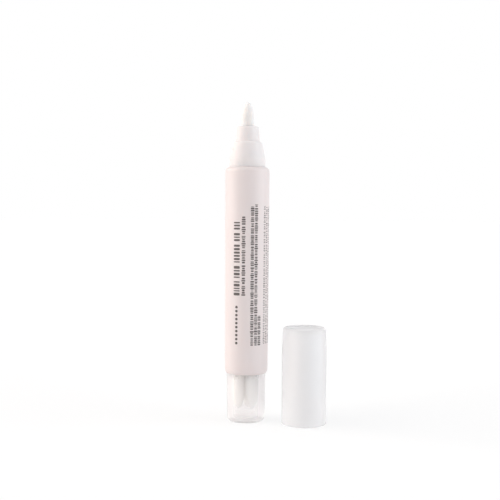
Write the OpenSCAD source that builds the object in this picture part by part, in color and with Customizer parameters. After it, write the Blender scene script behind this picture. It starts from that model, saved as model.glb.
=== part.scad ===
// A felt-tip nail oil pen that stands on its clear tail cup, with its pull-off cap beside it.
// Millimetres, +Z up. The origin is the middle of the tail cup's flat base, under the pen's axis.

/* [Nibs] */
// Diameter of the bullet nib and of the three spare ones
nib_d = 4; // [3.6:0.1:4.4]
// Whole length of a nib
nib_len = 31; // [29:0.5:32]
// Length of the nib that shows above the nozzle
nib_out = 7.8; // [6:0.1:9]
// Length of the rounded bullet point
nib_point = 5.2; // [4:0.1:6]
// Chamfer at the square rear end of a nib
nib_chamfer = 0.3; // [0.2:0.05:0.5]

/* [Tail cup] */
// Height of the cup that shows below the barrel
cup_h = 15.4; // [14:0.1:18]
// Wall of the cup
cup_wall = 0.85; // [0.7:0.05:1.1]
// Thickness of the cup's floor
cup_floor = 1.2; // [0.8:0.1:1.8]
// Rounding of the cup's outer bottom edge
cup_round = 1.5; // [1:0.1:2]
// Step outward from the cup's spigot to the cup itself, on which the barrel's end sits
cup_shoulder = 0.5; // [0.3:0.05:0.6]
// Inward taper of the cup's side from its shoulder to its base
cup_draft = 0.2; // [0.05:0.05:0.3]
// Length of the spigot that pushes into the barrel
cup_spigot = 8; // [6:0.5:10]

/* [Barrel] */
// Length of the barrel
barrel_len = 65.2; // [60:0.1:75]
// Wall of the barrel at its front end
barrel_front_wall = 1.525; // [1.4:0.025:2]
// Wall of the barrel round its rear socket
barrel_rear_wall = 1.15; // [0.9:0.05:1.5]
// Ledge inside the barrel where its rear socket narrows to the chamber
barrel_ledge = 0.2; // [0.15:0.05:0.4]
// Width of the rounding at the barrel's front edge
front_round_w = 1.2; // [0.6:0.05:1.2]
// Height of the rounding at the barrel's front edge
front_round_h = 1.4; // [0.5:0.1:2]
// Width of the rounding at the barrel's rear edge
rear_round_w = 0.7; // [0.4:0.05:0.8]
// Height of the rounding at the barrel's rear edge
rear_round_h = 1.8; // [1:0.1:2.5]

/* [Nozzle] */
// Height of the straight seat that the cap grips
seat_h = 2.4; // [1.8:0.1:3]
// Step outward from the plug to the seat, which stops the nozzle on the barrel's end
seat_step = 0.2; // [0.2:0.05:0.4]
// Height of the curved cone above the seat
cone_h = 5.1; // [4.5:0.1:6]
// Step inward from the seat to the top of the curved cone
cone_step = 1.05; // [0.8:0.05:1.3]
// Height of the rounded ledge above the cone
ledge_h = 0.7; // [0.4:0.1:1]
// Height of the collar round the nib
collar_h = 4.6; // [4:0.1:5.5]
// Wall of the collar at its top
collar_wall = 1.55; // [1.2:0.05:1.8]
// Outward taper of the collar from its top to its base
collar_draft = 0.27; // [0.1:0.01:0.4]
// Rounding of the collar's top edge
collar_round = 0.3; // [0.1:0.05:0.5]
// Wall of the nozzle's plug and cone
nozzle_wall = 1; // [0.8:0.05:1.2]
// Wall of the tube that guides the nib inside the nozzle
guide_wall = 0.9; // [0.6:0.05:1.2]
// Height of the guide tube's lower end above the end of the nozzle's plug
guide_lift = 2.3; // [1:0.1:4]
// Width of each vent groove along the nib
vent_w = 0.6; // [0.4:0.05:0.8]
// Depth of each vent groove
vent_depth = 0.35; // [0.2:0.05:0.5]
// Number of vent grooves
vent_count = 4; // [2:1:6]

/* [Cap] */
// Height of the cap
cap_h = 30.4; // [29:0.1:34]
// Thickness of the cap's closed end
cap_end = 1.4; // [1.2:0.1:2]
// Height of the crown where the cap's side curves inward
crown_h = 9; // [4:0.5:10]
// Inward curve of the crown below its rounded edge
crown_in = 0.38; // [0.2:0.02:0.6]
// Rounding of the crown's edge
crown_round = 0.6; // [0.4:0.1:1.2]
// Rounding of the cap's mouth
mouth_round = 0.3; // [0.1:0.05:0.4]
// Width of the flat rim round the dish in the closed end
dish_rim = 0.9; // [0.3:0.1:1.5]
// Depth of the shallow dish
dish_depth = 0.4; // [0.2:0.05:0.5]
// Step inward from the mouth bore to the bore that holds the liner
liner_step = 0.18; // [0.1:0.02:0.3]
// Height of the liner's sealing ring
seal_h = 2.4; // [1.5:0.1:3]
// Wall of the liner's tube
liner_wall = 0.6; // [0.4:0.05:0.8]
// Thickness of the liner's closed end
liner_end = 0.7; // [0.5:0.1:1]
// Distance between the standing cap and the barrel, seen from the front
stand_gap = 4.25; // [2:0.05:40]
// Distance that the cap stands in front of the pen
stand_forward = 3.8; // [0:0.1:20]

/* [Holder and reservoir] */
// Web between the sockets for the spare nibs
socket_web = 0.4; // [0.3:0.05:0.6]
// Depth of each socket
socket_depth = 6; // [4:0.5:8]
// Thickness of the holder's closed top
holder_top = 1.8; // [1.2:0.1:2.5]
// Height of the holder's sealing lip
lip_h = 1; // [0.6:0.1:1.5]
// Wall of the holder's sealing lip
lip_wall = 0.8; // [0.5:0.1:1.2]
// Angle of the first spare nib round the axis
spare_angle = -42; // [-60:1:60]
// Length of the nib that dips into the reservoir
nib_soak = 3; // [2:0.1:4]
// Thickness of the film round the fibre reservoir
film_t = 0.18; // [0.1:0.02:0.3]

/* [Clearances] */
// Radial gap of fits that slide apart
slide_gap = 0.05; // [0.02:0.01:0.08]
// Radial gap of pieces pressed together for good
press_gap = 0.02; // [0.01:0.01:0.04]
// Radial gap between the cap's mouth and the nozzle's seat
cap_gap = 0.08; // [0.06:0.01:0.12]
// Gap between the bundle of spare nibs and the cup's spigot
bundle_gap = 0.26; // [0.2:0.02:0.5]
// Gap between the spare nibs' points and the cup's floor
point_gap = 2.9; // [1.5:0.1:4]
// Gap between stacked ends inside the barrel
end_gap = 0.1; // [0.05:0.05:0.2]
// Height of the liner's mouth above the nozzle's ledge when the cap is on
seal_lift = 0.9; // [0.5:0.1:1.2]
// Radial gap between the liner's tube and the nozzle's collar
liner_gap = 0.45; // [0.3:0.05:0.6]
// Radial gap between the nib and its pocket in the reservoir
pocket_gap = 0.15; // [0.1:0.05:0.3]

/* [Hidden] */
$fn = 96;
arc_steps = 10;
spare_count = 3;
turn = 360;
quarter_turn = 90;
// Share of the nozzle's cone over which its side starts straight up
cone_straight_share = 0.1;
// How far a cut runs past the face that it opens
overrun = 1;
spare_pitch_r = (nib_d + socket_web) / sqrt(3);
bundle_r = spare_pitch_r + nib_d / 2;
spigot_r = bundle_r + bundle_gap + cup_wall;
socket_r = spigot_r + slide_gap;
chamber_r = socket_r - barrel_ledge;
barrel_front_r = chamber_r + barrel_front_wall;
barrel_rear_r = socket_r + barrel_rear_wall;
cup_r = spigot_r + cup_shoulder;
cup_base_r = cup_r - cup_draft;
seat_r = chamber_r + seat_step;
nib_r = nib_d / 2;
guide_r = nib_r + slide_gap;
collar_top_r = nib_r + collar_wall;
collar_base_r = collar_top_r + collar_draft;
mouth_r = seat_r + cap_gap;
cap_bore_r = mouth_r - liner_step;
cap_r = barrel_front_r;
crown_r = cap_r - crown_in;
dish_r = crown_r - crown_round - dish_rim;

barrel_z0 = cup_h;
barrel_z1 = barrel_z0 + barrel_len;
seat_z1 = barrel_z1 + seat_h;
cone_z1 = seat_z1 + cone_h;
ledge_z1 = cone_z1 + ledge_h;
nozzle_z1 = ledge_z1 + collar_h;
nib_z1 = nozzle_z1 + nib_out;
nib_z0 = nib_z1 - nib_len;
nozzle_z0 = nib_z0 + nib_soak;
roof_z = cone_z1 - nozzle_wall;
guide_z0 = nozzle_z0 + guide_lift;
spare_z0 = cup_floor + point_gap;
spare_z1 = spare_z0 + nib_len;
holder_z0 = spare_z1 - socket_depth;
holder_z1 = spare_z1 + press_gap + holder_top;
lip_z1 = holder_z1 + lip_h;
reservoir_z0 = lip_z1 + end_gap;
reservoir_z1 = nozzle_z0 - end_gap;
film_r = chamber_r - slide_gap;
core_r = film_r - film_t - press_gap;
liner_z0 = seat_h + cone_h + ledge_h + seal_lift;
liner_z1 = cap_h - cap_end - press_gap;
liner_in_r = collar_base_r + liner_gap;
cap_x = barrel_front_r + cap_r + stand_gap;
cap_y = -stand_forward;

// Points along an elliptical arc, from one angle to another
function arc(centre, across, up, from, to) = [
    for (i = [0:arc_steps])
        let (a = from + (to - from) * i / arc_steps)
        centre + [across * cos(a), up * sin(a)]
];

// Points along a curve that leaves its start towards the corner and reaches its end from it
function bend(start, corner, end) = [
    for (i = [0:arc_steps])
        let (t = i / arc_steps)
        (1 - t) * (1 - t) * start + 2 * t * (1 - t) * corner + t * t * end
];

module lathe(outline) {
    rotate_extrude() polygon(outline);
}

// An upright cylinder on the axis, solid or as a cut, between two heights
module column(r, z0, z1) {
    translate([0, 0, z0]) cylinder(r = r, h = z1 - z0);
}

// A bullet nib from its square rear end up to its rounded point
module bullet_nib() {
    straight = nib_len - nib_point;
    lathe(concat(
        [[0, 0], [nib_r - nib_chamfer, 0], [nib_r, nib_chamfer]],
        arc([0, straight], nib_r, nib_point, 0, quarter_turn)
    ));
}

// The clear cup under the barrel: a standing beaker with a thinner spigot on top
module tail_cup() {
    inner_base_r = cup_base_r - cup_wall;
    inner_round = cup_round - cup_wall;
    spigot_in_r = spigot_r - cup_wall;
    color([0.93, 0.92, 0.92, 0.5])
    lathe(concat(
        [[0, 0]],
        arc([cup_base_r - cup_round, cup_round], cup_round, cup_round, -quarter_turn, 0),
        [
            [cup_r, barrel_z0],
            [spigot_r, barrel_z0],
            [spigot_r, barrel_z0 + cup_spigot],
            [spigot_in_r, barrel_z0 + cup_spigot],
            [spigot_in_r, barrel_z0 - cup_wall],
            [cup_r - cup_wall, barrel_z0 - cup_wall - cup_shoulder]
        ],
        arc([inner_base_r - inner_round, cup_floor + inner_round], inner_round, inner_round,
            0, -quarter_turn),
        [[0, cup_floor]]
    ));
}

// The outer tube: it tapers slightly to the rear, where it has a wider socket for the cup
module barrel() {
    color([0.95, 0.89, 0.87])
    difference() {
        lathe(concat(
            [[0, barrel_z0]],
            arc([barrel_rear_r - rear_round_w, barrel_z0 + rear_round_h], rear_round_w, rear_round_h,
                -quarter_turn, 0),
            arc([barrel_front_r - front_round_w, barrel_z1 - front_round_h], front_round_w,
                front_round_h, 0, quarter_turn),
            [[0, barrel_z1]]
        ));
        column(chamber_r, barrel_z0 - overrun, barrel_z1 + overrun);
        column(socket_r, barrel_z0 - overrun, holder_z1);
    }
}

// The stepped front: a plug in the barrel, the cap's seat, a curved cone and the nib's collar
module nozzle() {
    plug_r = chamber_r - press_gap;
    cone_top_r = seat_r - cone_step;
    inner_top_r = cone_top_r - nozzle_wall;
    color([0.96, 0.93, 0.92])
    difference() {
        lathe(concat(
            [[0, nozzle_z0], [plug_r, nozzle_z0], [plug_r, barrel_z1], [seat_r, barrel_z1]],
            bend([seat_r, seat_z1], [seat_r, seat_z1 + cone_h * cone_straight_share],
                [cone_top_r, cone_z1]),
            bend([cone_top_r, cone_z1], [cone_top_r - ledge_h / 2, ledge_z1],
                [collar_base_r, ledge_z1]),
            arc([collar_top_r - collar_round, nozzle_z1 - collar_round], collar_round, collar_round,
                0, quarter_turn),
            [[0, nozzle_z1]]
        ));
        difference() {
            lathe([
                [0, nozzle_z0 - overrun],
                [plug_r - nozzle_wall, nozzle_z0 - overrun],
                [plug_r - nozzle_wall, seat_z1 - nozzle_wall],
                [inner_top_r, roof_z],
                [0, roof_z]
            ]);
            column(guide_r + guide_wall, guide_z0, roof_z + overrun);
        }
        column(guide_r, nozzle_z0 - overrun, nozzle_z1 + overrun);
        for (i = [0:vent_count - 1])
            rotate([0, 0, turn * i / vent_count])
                translate([0, -vent_w / 2, guide_z0 - overrun])
                    cube([guide_r + vent_depth, vent_w, nozzle_z1 - guide_z0 + 2 * overrun]);
    }
}

module nib() {
    color([0.97, 0.96, 0.95])
    translate([0, 0, nib_z0])
        bullet_nib();
}

// The fibre rod that holds the oil, with the pocket that the nib has pressed into it
module reservoir_core() {
    color([0.98, 0.93, 0.84])
    difference() {
        column(core_r, reservoir_z0, reservoir_z1);
        column(nib_r + pocket_gap, nib_z0 - end_gap, reservoir_z1 + overrun);
    }
}

module reservoir_film() {
    color([0.9, 0.93, 0.96, 0.6])
    difference() {
        column(film_r, reservoir_z0, reservoir_z1);
        column(film_r - film_t, reservoir_z0 - overrun, reservoir_z1 + overrun);
    }
}

function spare_place(i) =
    let (a = spare_angle + turn * i / spare_count)
    [spare_pitch_r * cos(a), spare_pitch_r * sin(a), 0];

// The pressed-in plug that closes the chamber and grips the rear ends of the spare nibs
module nib_holder() {
    body_r = socket_r - press_gap;
    lip_r = chamber_r - press_gap;
    color([0.94, 0.94, 0.93])
    difference() {
        union() {
            column(body_r, holder_z0, holder_z1);
            column(lip_r, holder_z1, lip_z1);
        }
        column(lip_r - lip_wall, holder_z1, lip_z1 + overrun);
        for (i = [0:spare_count - 1])
            translate(spare_place(i))
                column(nib_r + press_gap, holder_z0 - overrun, spare_z1 + press_gap);
    }
}

// A spare nib, held by its rear end with its point down
module spare_nib(i) {
    color([0.97, 0.96, 0.95])
    translate(spare_place(i) + [0, 0, spare_z1])
        mirror([0, 0, 1])
            bullet_nib();
}

// The frosted outer cap, standing on its mouth
module cap_shell() {
    color([0.91, 0.91, 0.93])
    translate([cap_x, cap_y, 0])
    difference() {
        lathe(concat(
            [[0, 0]],
            arc([cap_r - mouth_round, mouth_round], mouth_round, mouth_round, -quarter_turn, 0),
            bend([cap_r, cap_h - crown_h], [cap_r, cap_h - crown_h / 2],
                [crown_r, cap_h - crown_round]),
            arc([crown_r - crown_round, cap_h - crown_round], crown_round, crown_round,
                0, quarter_turn),
            [[dish_r, cap_h], [dish_r - dish_depth, cap_h - dish_depth], [0, cap_h - dish_depth]]
        ));
        column(mouth_r, -overrun, liner_z0);
        column(cap_bore_r, liner_z0 - overrun, cap_h - cap_end);
    }
}

// The inner cup pressed into the cap, whose ring seals on the nozzle's collar
module cap_liner() {
    ring_r = cap_bore_r - press_gap;
    tube_r = liner_in_r + liner_wall;
    color([0.96, 0.96, 0.97])
    translate([cap_x, cap_y, 0])
    difference() {
        union() {
            column(ring_r, liner_z0, liner_z0 + seal_h);
            column(tube_r, liner_z0, liner_z1);
        }
        column(collar_base_r, liner_z0 - overrun, liner_z0 + seal_h);
        column(liner_in_r, liner_z0 + seal_h, liner_z1 - liner_end);
    }
}

tail_cup();
barrel();
nozzle();
nib();
reservoir_core();
reservoir_film();
nib_holder();
spare_nib(0);  // spare_nib_1
spare_nib(1);  // spare_nib_2
spare_nib(2);  // spare_nib_3
cap_shell();
cap_liner();
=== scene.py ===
# The nail oil pen stands on its clear tail cup with its frosted cap beside it, on a white table.
import math
import random

import bpy
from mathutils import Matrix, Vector, noise


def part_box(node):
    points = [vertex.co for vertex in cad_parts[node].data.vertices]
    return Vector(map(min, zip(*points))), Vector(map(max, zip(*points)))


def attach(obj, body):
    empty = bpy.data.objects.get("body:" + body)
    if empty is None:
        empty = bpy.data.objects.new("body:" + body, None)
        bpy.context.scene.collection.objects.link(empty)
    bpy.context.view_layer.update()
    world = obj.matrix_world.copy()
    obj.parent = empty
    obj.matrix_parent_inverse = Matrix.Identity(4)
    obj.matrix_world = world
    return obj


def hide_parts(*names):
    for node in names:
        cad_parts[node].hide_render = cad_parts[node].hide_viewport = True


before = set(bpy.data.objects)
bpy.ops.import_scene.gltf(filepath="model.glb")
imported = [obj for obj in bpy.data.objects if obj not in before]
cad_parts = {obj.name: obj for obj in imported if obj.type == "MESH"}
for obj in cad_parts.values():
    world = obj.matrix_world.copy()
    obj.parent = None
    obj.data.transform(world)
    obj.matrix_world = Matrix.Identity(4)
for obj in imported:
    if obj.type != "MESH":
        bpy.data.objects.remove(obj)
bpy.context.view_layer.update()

# The view: one camera a little above the middle of the pen and a little under 30 cm in front of
# it, as the photographer had it. It looks slightly down and stands a hair out of level.
mm = 0.001
picture_px = 500
focal_px = 888
sensor = 36
camera = bpy.data.objects.new("camera", bpy.data.cameras.new("camera"))
bpy.context.scene.collection.objects.link(camera)
camera.data.sensor_width = sensor
camera.data.lens = sensor * focal_px / picture_px
camera.location = (0.92 * mm, -282 * mm, 65 * mm)
look_down = math.radians(2.14)
out_of_level = math.radians(0.4)
camera.rotation_euler = (math.pi / 2 - look_down, -out_of_level, 0)
bpy.context.scene.camera = camera

# The clear tail cup is moulded in one shot from clear plastic. The tool's polish leaves a faint
# frost, which shows most at its foot. The pen stands on it and its spigot pushes into the barrel.
noise_low, noise_high = 0.3, 0.7
# The painted shade at the cup's foot fades out between these two heights.
painted_shade_to, unshaded_from = 0.15 * mm, 0.9 * mm
frosted_to, polished_from = 1.2 * mm, 2.4 * mm


def open_material(name):
    """A new material and its shader."""
    material = bpy.data.materials.new(name)
    material.use_nodes = True
    return material, material.node_tree.nodes["Principled BSDF"]


def grain(material, per_mm, stretch=(1, 1, 1), detail=3):
    """Noise with that many grains to a millimetre, drawn out along an axis by its share."""
    nodes, links = material.node_tree.nodes, material.node_tree.links
    place = nodes.new("ShaderNodeTexCoord")
    scale = nodes.new("ShaderNodeMapping")
    scale.inputs["Scale"].default_value = [per_mm / mm * share for share in stretch]
    texture = nodes.new("ShaderNodeTexNoise")
    texture.inputs["Scale"].default_value = 1
    texture.inputs["Detail"].default_value = detail
    links.new(place.outputs["Object"], scale.inputs["Vector"])
    links.new(scale.outputs["Vector"], texture.inputs["Vector"])
    return texture.outputs["Fac"]


def ranged(material, value, low, high, at_low, at_high):
    """Goes from one number to another while a value goes from low to high."""
    spread = material.node_tree.nodes.new("ShaderNodeMapRange")
    spread.inputs["From Min"].default_value = low
    spread.inputs["From Max"].default_value = high
    spread.inputs["To Min"].default_value = at_low
    spread.inputs["To Max"].default_value = at_high
    material.node_tree.links.new(value, spread.inputs["Value"])
    return spread.outputs["Result"]


def between(material, fac, socket, low, high):
    """Drives a socket from low to high with a noise, through a colour ramp or a range. Nearly all
    of a noise lies between noise_low and noise_high."""
    nodes, links = material.node_tree.nodes, material.node_tree.links
    if socket.type == "RGBA":
        ramp = nodes.new("ShaderNodeValToRGB")
        ramp.color_ramp.elements[0].position = noise_low
        ramp.color_ramp.elements[0].color = (*low, 1)
        ramp.color_ramp.elements[1].position = noise_high
        ramp.color_ramp.elements[1].color = (*high, 1)
        links.new(fac, ramp.inputs["Fac"])
        links.new(ramp.outputs["Color"], socket)
    else:
        links.new(ranged(material, fac, noise_low, noise_high, low, high), socket)


def by_height(material, low, high, at_low, at_high):
    """Goes from one number to another between two heights of the piece."""
    nodes, links = material.node_tree.nodes, material.node_tree.links
    place = nodes.new("ShaderNodeTexCoord")
    parts = nodes.new("ShaderNodeSeparateXYZ")
    links.new(place.outputs["Object"], parts.inputs["Vector"])
    return ranged(material, parts.outputs["Z"], low, high, at_low, at_high)


def by_turn(material, face_on, edge_on):
    """Goes from one number to another as a wall turns away from the eye."""
    turn = material.node_tree.nodes.new("ShaderNodeLayerWeight")
    turn.inputs["Blend"].default_value = 0.5
    return ranged(material, turn.outputs["Facing"], 0, 1, face_on, edge_on)


def of_both(owner, operation, first, second):
    """The product or the larger of two values, in the nodes of a material or of the room."""
    nodes, links = owner.node_tree.nodes, owner.node_tree.links
    both = nodes.new("ShaderNodeMath")
    both.operation = operation
    links.new(first, both.inputs[0])
    links.new(second, both.inputs[1])
    return both.outputs["Value"]


def see_through(material, shader, face_on, edge_on, shade):
    """Lets a wall be seen through, less so where it turns away. What it keeps of the light is
    that share of what it hides."""
    path = material.node_tree.nodes.new("ShaderNodeLightPath")
    light = of_both(material, "MAXIMUM", path.outputs["Is Shadow Ray"], path.outputs["Is Diffuse Ray"])
    keeps = ranged(material, light, 0, 1, 1, shade)
    alpha = of_both(material, "MULTIPLY", by_turn(material, face_on, edge_on), keeps)
    material.node_tree.links.new(alpha, shader.inputs["Alpha"])


def dim(material, shader, value):
    """Darkens the colour that a shader has by a value from 0 to 1."""
    nodes, links = material.node_tree.nodes, material.node_tree.links
    tint = nodes.new("ShaderNodeVectorMath")
    tint.operation = "SCALE"
    links.new(shader.inputs["Base Color"].links[0].from_socket, tint.inputs[0])
    links.new(value, tint.inputs["Scale"])
    links.new(tint.outputs["Vector"], shader.inputs["Base Color"])


def dress(node, material):
    """Gives a carried-over piece its finish."""
    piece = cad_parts[node]
    piece.data.materials.clear()
    piece.data.materials.append(material)


clear_plastic, shader = open_material("clear_plastic")
shader.inputs["IOR"].default_value = 1.08
shader.inputs["Transmission Weight"].default_value = 0.78
mist = grain(clear_plastic, 3)
between(clear_plastic, mist, shader.inputs["Base Color"], (0.96, 0.94, 0.94), (0.98, 0.96, 0.96))
# Painted shade: the colour is darkened to 0.8 at the very foot, where the cup meets the table, and is full
# above 0.9 mm.
dim(clear_plastic, shader, by_height(clear_plastic, painted_shade_to, unshaded_from, 0.8, 1))
wall_frost = by_turn(clear_plastic, face_on=0.22, edge_on=0.42)
foot_frost = by_height(clear_plastic, frosted_to, polished_from, 0.45, 0.2)
frost = of_both(clear_plastic, "MAXIMUM", wall_frost, foot_frost)
clear_plastic.node_tree.links.new(frost, shader.inputs["Roughness"])
# The eye sees through this plastic by its transmission, so only the light is let past it here.
see_through(clear_plastic, shader, face_on=1, edge_on=1, shade=0.05)
dress("tail_cup", clear_plastic)

# Three spare nibs hang points down in the cup, held by their rear ends. Each is a bullet of
# pressed polyester fibre, so its skin is a fine nap of strands that run along it.
nib_r = 2 * mm
nib_chamfer = 0.3 * mm
nib_point = 5.2 * mm
nib_sides = 120
skirt_rings = 96
point_rings = 30
strand_depth = 0.03 * mm
strands_across = 4.5 / mm
strands_along = 0.45 / mm


def relief(material, fac, shader, depth):
    """Raises the surface by a noise, to that depth."""
    nodes, links = material.node_tree.nodes, material.node_tree.links
    bump = nodes.new("ShaderNodeBump")
    bump.inputs["Distance"].default_value = depth
    bump.inputs["Strength"].default_value = 1
    links.new(fac, bump.inputs["Height"])
    links.new(bump.outputs["Normal"], shader.inputs["Normal"])


def let_light_in(shader, weight, colour_shares, depth):
    """Lets light into a material and out again, so deep and for each colour by its share."""
    shader.inputs["Subsurface Weight"].default_value = weight
    shader.inputs["Subsurface Radius"].default_value = colour_shares
    shader.inputs["Subsurface Scale"].default_value = depth


def pressed_fibre(name, low, high, depth):
    """Felt of strands that run along the nib. Light goes that deep into it."""
    felt, shader = open_material(name)
    shader.inputs["Sheen Weight"].default_value = 0.1
    shader.inputs["Specular IOR Level"].default_value = 0.2
    let_light_in(shader, 1, (1, 0.93, 0.88), depth)
    fibres = grain(felt, 9, stretch=(1, 1, 0.12), detail=5)
    between(felt, fibres, shader.inputs["Base Color"], low, high)
    between(felt, fibres, shader.inputs["Roughness"], 0.8, 0.95)
    relief(felt, fibres, shader, 0.02 * mm)
    return felt


def bullet_rings(length):
    """Rings from the bullet's rear edge to just short of its tip. Each has its place along the
    bullet, its radius, and the lean of the skin there towards the tip."""
    straight = length - nib_point
    rings = [(0, nib_r - nib_chamfer, -math.pi / 4), (nib_chamfer, nib_r, 0)]
    for i in range(1, skirt_rings + 1):
        rings.append((nib_chamfer + (straight - nib_chamfer) * i / skirt_rings, nib_r, 0))
    for i in range(1, point_rings):
        turn = math.pi / 2 * i / point_rings
        lean = math.atan2(math.sin(turn) / nib_point, math.cos(turn) / nib_r)
        rings.append((straight + nib_point * math.sin(turn), nib_r * math.cos(turn), lean))
    return rings


def napped_points(rings, axis_x, axis_y, rear, up):
    """The points of the rings, sunk a little between the strands."""
    points = []
    for along, out, lean in rings:
        for j in range(nib_sides):
            spin = 2 * math.pi * j / nib_sides
            x, y = out * math.cos(spin), out * math.sin(spin)
            strand = noise.noise((x * strands_across, y * strands_across, along * strands_along))
            sunk = strand_depth * (0.5 + 0.5 * strand) * out / nib_r
            reach = 1 - sunk * math.cos(lean) / out
            height = rear + up * (along - sunk * math.sin(lean))
            points.append((axis_x + x * reach, axis_y + y * reach, height))
    return points


def closed_faces(ring_points, up):
    """Faces from ring to ring, and from the end rings to the rear and tip points after them."""
    rear_point, tip_point = ring_points, ring_points + 1
    last_ring = ring_points - nib_sides
    faces = []
    for j in range(nib_sides):
        k = (j + 1) % nib_sides
        for first in range(0, last_ring, nib_sides):
            faces.append((first + j, first + k, first + nib_sides + k, first + nib_sides + j))
        faces.append((rear_point, k, j))
        faces.append((tip_point, last_ring + j, last_ring + k))
    if up == -1:
        faces = [face[::-1] for face in faces]
    return faces


def new_piece(name, points, faces):
    """A mesh as an object of the scene."""
    mesh = bpy.data.meshes.new(name)
    mesh.from_pydata(points, [], faces)
    piece = bpy.data.objects.new(name, mesh)
    bpy.context.scene.collection.objects.link(piece)
    return piece


def fibre_bullet(name, node, body, up, felt):
    """A bullet of felt in a node's place, with its point up at 1 and down at -1."""
    low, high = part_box(node)
    axis_x, axis_y = (low[0] + high[0]) / 2, (low[1] + high[1]) / 2
    length = high[2] - low[2]
    rear = low[2] if up == 1 else high[2]
    points = napped_points(bullet_rings(length), axis_x, axis_y, rear, up)
    faces = closed_faces(len(points), up)
    points.append((axis_x, axis_y, rear))
    points.append((axis_x, axis_y, rear + up * length))
    bullet = new_piece(name, points, faces)
    bullet.data.shade_smooth()
    bullet.data.materials.append(felt)
    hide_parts(node)
    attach(bullet, body)


dry_felt = pressed_fibre("dry_felt", (0.765, 0.725, 0.69), (0.855, 0.815, 0.775), depth=10 * mm)
for number in (1, 2, 3):
    fibre_bullet(f"spare_bullet_{number}", f"spare_nib_{number}", "pen", -1, dry_felt)

# The holder is a white plug pressed into the barrel. It closes the oil chamber and has three
# sockets underneath for the spare nibs.
holder_plastic, shader = open_material("holder_plastic")
cloud = grain(holder_plastic, 1)
between(holder_plastic, cloud, shader.inputs["Base Color"], (0.8, 0.8, 0.78), (0.85, 0.85, 0.83))
between(holder_plastic, cloud, shader.inputs["Roughness"], 0.45, 0.6)
dress("nib_holder", holder_plastic)


# The barrel is one tube moulded in a pinkish white plastic with a satin skin. It is a little
# wider at the front, so that it leaves the mould.
def satin_skin(material, shader, low, high, smoothest, roughest):
    """Faint streaks of colour along the way the plastic flowed, and the mould's fine texture."""
    flow = grain(material, 0.4, stretch=(1, 1, 0.2))
    between(material, flow, shader.inputs["Base Color"], low, high)
    skin = grain(material, 5)
    between(material, skin, shader.inputs["Roughness"], smoothest, roughest)
    relief(material, skin, shader, 0.004 * mm)


barrel_plastic, shader = open_material("barrel_plastic")
let_light_in(shader, 0.15, (1, 0.7, 0.65), 1 * mm)
satin_skin(barrel_plastic, shader, (0.765, 0.682, 0.672), (0.785, 0.707, 0.697), 0.34, 0.42)
dress("barrel", barrel_plastic)

# The print is a thin film of taupe ink, rolled on along one side of the barrel. It is a plain
# pattern of dashes in rows of several weights, with a row of dots at the rear.
ink_up = 0.012 * mm
ink_down = 0.05 * mm
ink_columns = 6
column_points = 4
barrel_low, barrel_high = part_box("barrel")
barrel_rear_r, barrel_front_r = 6.85 * mm, 7.025 * mm
bold_row = -26.8
front_rows_low = 40.5
side_rows_low = 24.9
faint_rows_low = 25.2
fewest_dashes, most_dashes = 3, 8
dash_round_share = 0.1
dot_count = 10
dot_step = 1.25
dot_tall = 0.9
dot_long = 0.8
first_dot = 25.2
draw = random.Random(7)
ink_points, ink_faces = [], []


def ink_spot(angle, tall, low, high, round_off):
    """A closed film of ink on the barrel, from one height to another, with rounded corners."""
    start = len(ink_points)
    for i in range(ink_columns + 1):
        side = 2 * i / ink_columns - 1
        drawn_in = round_off * (1 - math.sqrt(1 - side ** 4))
        for z in (low + drawn_in, high - drawn_in):
            share = (z - barrel_low[2]) / (barrel_high[2] - barrel_low[2])
            skin_r = barrel_rear_r + (barrel_front_r - barrel_rear_r) * share
            turn = angle + side * tall / 2 / skin_r
            for r in (skin_r - ink_down, skin_r + ink_up):
                ink_points.append((r * math.sin(turn), -r * math.cos(turn), z))
    end = start + column_points * ink_columns
    for a in range(start, end, column_points):
        b = a + column_points
        ink_faces.extend([(a + 1, b + 1, b + 3, a + 3), (a, a + 2, b + 2, b),
                          (a, b, b + 1, a + 1), (a + 2, a + 3, b + 3, b + 2)])
    ink_faces.extend([(start, start + 1, start + 3, start + 2), (end, end + 2, end + 3, end + 1)])


def dash_row(degrees, low, high, tall, shortest, longest, gap, space, least):
    """A row of dashes of chance lengths along the barrel, in groups with a space between. The
    sizes are in millimetres. The shortest a dash may be across the row is least of tall."""
    z = low
    while z < high:
        for dash in range(draw.randint(fewest_dashes, most_dashes)):
            length = draw.uniform(shortest, longest)
            if z + length > high:
                return
            height = tall * draw.uniform(least, 1)
            round_off = dash_round_share * length * mm
            ink_spot(math.radians(degrees), height * mm, z * mm, (z + length) * mm, round_off)
            z += length + gap
        z += space


dash_row(bold_row, front_rows_low, 63.6,
         tall=2.1, shortest=0.35, longest=0.9, gap=0.38, space=0.7, least=0.97)
dash_row(-8.4, front_rows_low, 65.5,
         tall=1.3, shortest=0.25, longest=0.6, gap=0.2, space=0.4, least=0.6)
for step in range(dot_count):
    dot_low = first_dot + dot_step * step
    dot_high = dot_low + dot_long
    ink_spot(math.radians(bold_row), dot_tall * mm, dot_low * mm, dot_high * mm, dot_long / 2 * mm)
for degrees, high in ((14.5, 68.3), (25, 69.3), (35.3, 34.3)):
    dash_row(degrees, side_rows_low, high,
             tall=1.2, shortest=0.15, longest=0.5, gap=0.17, space=0.25, least=0.65)
for degrees in (52.5, 62.5, 72.5, 82):
    dash_row(degrees, faint_rows_low, 68.5,
             tall=1, shortest=0.12, longest=0.3, gap=0.3, space=0.3, least=0.6)
barrel_print = new_piece("barrel_print", ink_points, ink_faces)
taupe_ink, shader = open_material("taupe_ink")
speckle = grain(taupe_ink, 6)
between(taupe_ink, speckle, shader.inputs["Base Color"], (0.1, 0.085, 0.08), (0.15, 0.13, 0.125))
between(taupe_ink, speckle, shader.inputs["Roughness"], 0.5, 0.7)
barrel_print.data.materials.append(taupe_ink)
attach(barrel_print, "pen")

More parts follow.
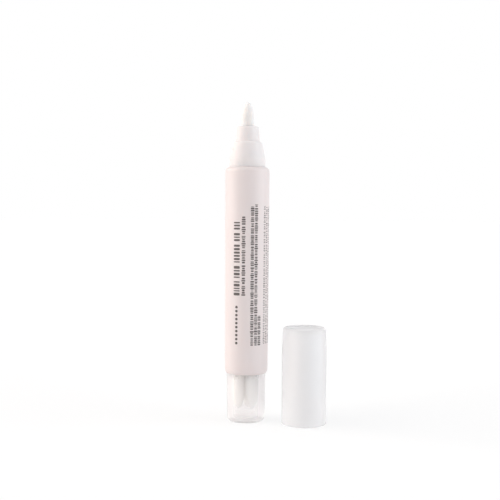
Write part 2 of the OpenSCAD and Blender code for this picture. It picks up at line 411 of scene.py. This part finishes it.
# The oil sits in a rod of bonded fibre, wrapped in a thin clear film that keeps it off the
# barrel's wall.
oil_fibre, shader = open_material("oil_fibre")
strands = grain(oil_fibre, 8, stretch=(1, 1, 0.05), detail=5)
between(oil_fibre, strands, shader.inputs["Base Color"], (0.74, 0.62, 0.42), (0.9, 0.82, 0.65))
between(oil_fibre, strands, shader.inputs["Roughness"], 0.35, 0.6)
relief(oil_fibre, strands, shader, 0.05 * mm)
dress("reservoir_core", oil_fibre)
wrap_film, shader = open_material("wrap_film")
wrinkles = grain(wrap_film, 0.8, stretch=(1, 1, 0.3))
between(wrap_film, wrinkles, shader.inputs["Base Color"], (0.85, 0.88, 0.9), (0.92, 0.94, 0.95))
between(wrap_film, wrinkles, shader.inputs["Roughness"], 0.08, 0.2)
relief(wrap_film, wrinkles, shader, 0.05 * mm)
see_through(wrap_film, shader, face_on=0.3, edge_on=0.7, shade=0.1)
dress("reservoir_film", wrap_film)

# The nozzle is a whiter moulding pressed into the barrel's front: the cap's seat, a curved
# cone and the collar that holds the nib.
nozzle_plastic, shader = open_material("nozzle_plastic")
shader.inputs["Specular IOR Level"].default_value = 0.2
let_light_in(shader, 0.5, (1, 0.87, 0.82), 2 * mm)
satin_skin(nozzle_plastic, shader, (0.815, 0.762, 0.755), (0.835, 0.782, 0.775), 0.3, 0.4)
dress("nozzle", nozzle_plastic)

# The nib is a bullet of the same pressed fibre, pushed into the collar so that its rear end
# dips into the oil. Soaked, it is a little greyer than the spare ones and lets less light in.
soaked_felt = pressed_fibre("soaked_felt", (0.76, 0.735, 0.72), (0.85, 0.825, 0.815), depth=2.2 * mm)
fibre_bullet("nib_bullet", "nib", "nib", 1, soaked_felt)

# The cap is a thin frosted shell, cloudy enough to veil its liner. It pulls off and stands on
# its open end.
frosted_plastic, shader = open_material("frosted_plastic")
shader.inputs["Transmission Weight"].default_value = 0.25
let_light_in(shader, 1, (1, 1, 1), 8 * mm)
frost = grain(frosted_plastic, 6)
between(frosted_plastic, frost, shader.inputs["Base Color"], (0.82, 0.8, 0.813), (0.85, 0.83, 0.843))
between(frosted_plastic, frost, shader.inputs["Roughness"], 0.42, 0.55)
relief(frosted_plastic, frost, shader, 0.006 * mm)
see_through(frosted_plastic, shader, face_on=0.6, edge_on=0.8, shade=0.05)
dress("cap_shell", frosted_plastic)

# The liner is a soft natural white cup pressed into the cap. Its ring seals on the collar so
# that the nib stays wet.
liner_plastic, shader = open_material("liner_plastic")
cloud = grain(liner_plastic, 1)
between(liner_plastic, cloud, shader.inputs["Base Color"], (0.84, 0.84, 0.85), (0.88, 0.88, 0.89))
between(liner_plastic, cloud, shader.inputs["Roughness"], 0.4, 0.55)
see_through(liner_plastic, shader, face_on=0.7, edge_on=0.9, shade=0.05)
dress("cap_liner", liner_plastic)

# The table is a wide white sheet that runs back past the picture's edge. The camera sees it
# white, with the soft shadow of the pen and the cap.
table_half = 20000 * mm
table_drop = 0.02 * mm


def show_or_light(owner, lit, shown):
    """Gives the light one shader, and the camera, reflections and clear plastic another."""
    nodes, links = owner.node_tree.nodes, owner.node_tree.links
    path = nodes.new("ShaderNodeLightPath")
    bounced = of_both(owner, "MAXIMUM", path.outputs["Is Glossy Ray"], path.outputs["Is Transmission Ray"])
    choose = nodes.new("ShaderNodeMixShader")
    links.new(of_both(owner, "MAXIMUM", path.outputs["Is Camera Ray"], bounced), choose.inputs["Fac"])
    links.new(lit, choose.inputs[1])
    links.new(shown, choose.inputs[2])
    return choose.outputs["Shader"]


corners = [(x * table_half, y * table_half, -table_drop) for x, y in ((-1, -1), (1, -1), (1, 1), (-1, 1))]
table = new_piece("table", corners, [(0, 1, 2, 3)])
white_sheet = bpy.data.materials.new("white_sheet")
white_sheet.use_nodes = True
nodes, links = white_sheet.node_tree.nodes, white_sheet.node_tree.links
nodes.clear()
paper = nodes.new("ShaderNodeBsdfDiffuse")
paper.inputs["Color"].default_value = (0.85, 0.85, 0.85, 1)
glow = nodes.new("ShaderNodeEmission")
glow.inputs["Strength"].default_value = 1.28
veil = nodes.new("ShaderNodeMixShader")
veil.inputs["Fac"].default_value = 0.4
surface = nodes.new("ShaderNodeOutputMaterial")
links.new(paper.outputs["BSDF"], veil.inputs[1])
links.new(glow.outputs["Emission"], veil.inputs[2])
seen = show_or_light(white_sheet, paper.outputs["BSDF"], veil.outputs["Shader"])
links.new(seen, surface.inputs["Surface"])
table.data.materials.append(white_sheet)

# The light: a pale room all round, which the eye sees white, a warm soft lamp on the left and a
# weaker cool one on the right. The lamps are low and beside the pen, so that its edges are light
# and its middle darker.
world = bpy.context.scene.world or bpy.data.worlds.new("room")
bpy.context.scene.world = world
world.use_nodes = True
nodes, links = world.node_tree.nodes, world.node_tree.links
nodes.clear()
white = nodes.new("ShaderNodeBackground")
white.inputs["Color"].default_value = (1, 1, 1, 1)
white.inputs["Strength"].default_value = 1
room = nodes.new("ShaderNodeBackground")
room.inputs["Color"].default_value = (0.96, 0.97, 1, 1)
room.inputs["Strength"].default_value = 0.62
surface = nodes.new("ShaderNodeOutputWorld")
seen = show_or_light(world, room.outputs["Background"], white.outputs["Background"])
links.new(seen, surface.inputs["Surface"])


def soft_lamp(name, azimuth, elevation, level, colour, spread):
    """A far soft lamp. Azimuth 0 is at the camera and 90 is on the right."""
    lamp = bpy.data.objects.new(name, bpy.data.lights.new(name, "SUN"))
    bpy.context.scene.collection.objects.link(lamp)
    lamp.data.energy = level * math.pi
    lamp.data.color = colour
    lamp.data.angle = math.radians(spread)
    turn, rise = math.radians(azimuth), math.radians(elevation)
    towards = Vector((math.sin(turn) * math.cos(rise), -math.cos(turn) * math.cos(rise), math.sin(rise)))
    lamp.rotation_euler = towards.to_track_quat("Z", "Y").to_euler()


soft_lamp("left_lamp", azimuth=-86, elevation=20, level=0.75, colour=(1, 0.92, 0.84), spread=60)
soft_lamp("right_lamp", azimuth=76, elevation=12, level=0.53, colour=(0.92, 0.98, 1), spread=55)
bpy.context.scene.view_settings.view_transform = "Standard"
